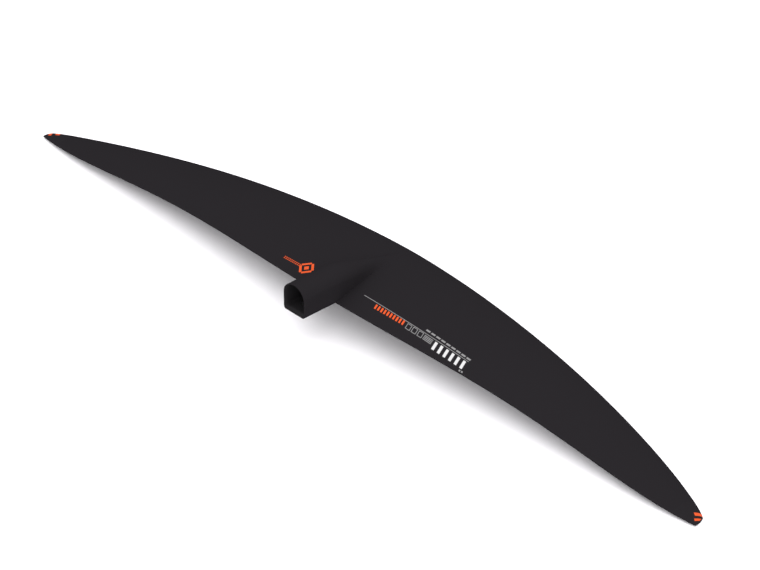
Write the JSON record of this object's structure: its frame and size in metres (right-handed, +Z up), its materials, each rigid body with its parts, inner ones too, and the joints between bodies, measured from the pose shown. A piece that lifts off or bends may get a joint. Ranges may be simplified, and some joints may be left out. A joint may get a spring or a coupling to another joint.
{
  "type": "hydrofoil front wing",
  "caption": "Slender swept hydrofoil front wing with drooped tips and a D-shaped socket that takes a fuselage nose.",
  "frame": {"origin": "midway between the two bolt holes, on the inner floor of the socket, directly below the trailing edge at mid-span", "axes": "+X to starboard along the span, +Y forward toward the leading edge, +Z up"},
  "size_m": [1.06, 0.18, 0.0761],
  "materials": {
    "skin_upper": "satin black coated carbon laminate",
    "root_shell": "satin black coated carbon laminate",
    "skin_lower": "satin black coated carbon laminate",
    "tip_block": "satin black coated solid carbon",
    "spar_cap": "unidirectional carbon",
    "spar_web": "woven carbon",
    "edge_strip": "solid carbon",
    "foam_core": "closed-cell foam",
    "root_block": "dense machined foam",
    "fairing_core": "filled foam",
    "socket_liner": "satin woven carbon",
    "bolt_bush": "turned stainless steel"
  },
  "bodies": {
    "root": {"upper_skin_starboard": "skin_upper", "upper_skin_port": "skin_upper", "root_shell": "root_shell", "lower_skin": "skin_lower", "spar_cap_lower": "spar_cap", "spar_cap_upper": "spar_cap", "spar_web_front": "spar_web", "spar_web_rear": "spar_web", "spar_core": "foam_core", "leading_edge_starboard": "edge_strip", "leading_edge_port": "edge_strip", "front_core_starboard": "foam_core", "front_core_port": "foam_core", "rear_core_starboard": "foam_core", "rear_core_port": "foam_core", "outer_core_starboard": "foam_core", "outer_core_port": "foam_core", "trailing_edge_starboard": "edge_strip", "trailing_edge_port": "edge_strip", "tip_block_starboard": "tip_block", "tip_block_port": "tip_block", "root_block": "root_block", "fairing_core": "fairing_core", "socket_liner": "socket_liner", "bolt_bush_front": "bolt_bush", "bolt_bush_rear": "bolt_bush"}
  },
  "joints": []
}
